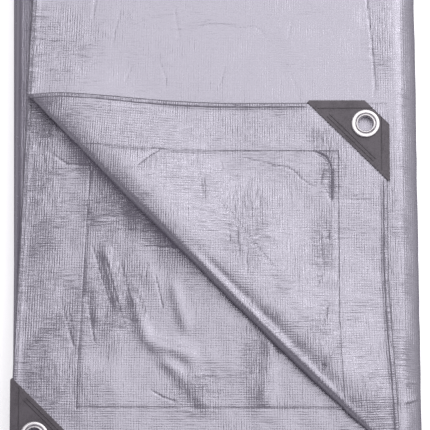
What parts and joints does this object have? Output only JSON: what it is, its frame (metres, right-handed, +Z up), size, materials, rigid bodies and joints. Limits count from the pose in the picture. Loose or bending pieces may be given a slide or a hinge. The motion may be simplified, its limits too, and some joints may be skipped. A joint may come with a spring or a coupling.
{
  "type": "folded tarp",
  "caption": "Silver woven polythene tarp folded into a flat bundle, with a hemmed corner turned back to show its plastic corner patch and metal eyelet.",
  "frame": {"origin": "middle of the bundle's footprint, on the surface that it lies on", "axes": "+Z up, +Y along the bundle away from the turned corner's hems, +X towards the round side of the fold"},
  "size_m": [0.3165, 0.3974, 0.0457],
  "materials": {
    "tarp_cloth": "silver coated woven polythene, half gloss",
    "patch_plastic": "dark grey moulded plastic, satin",
    "eyelet_metal": "bright plated metal"
  },
  "bodies": {
    "root": {"tarp_sheet": "tarp_cloth", "corner_patch_turned": "patch_plastic", "corner_patch_lower": "patch_plastic", "eyelet_turned": "eyelet_metal", "eyelet_lower": "eyelet_metal"}
  },
  "joints": []
}
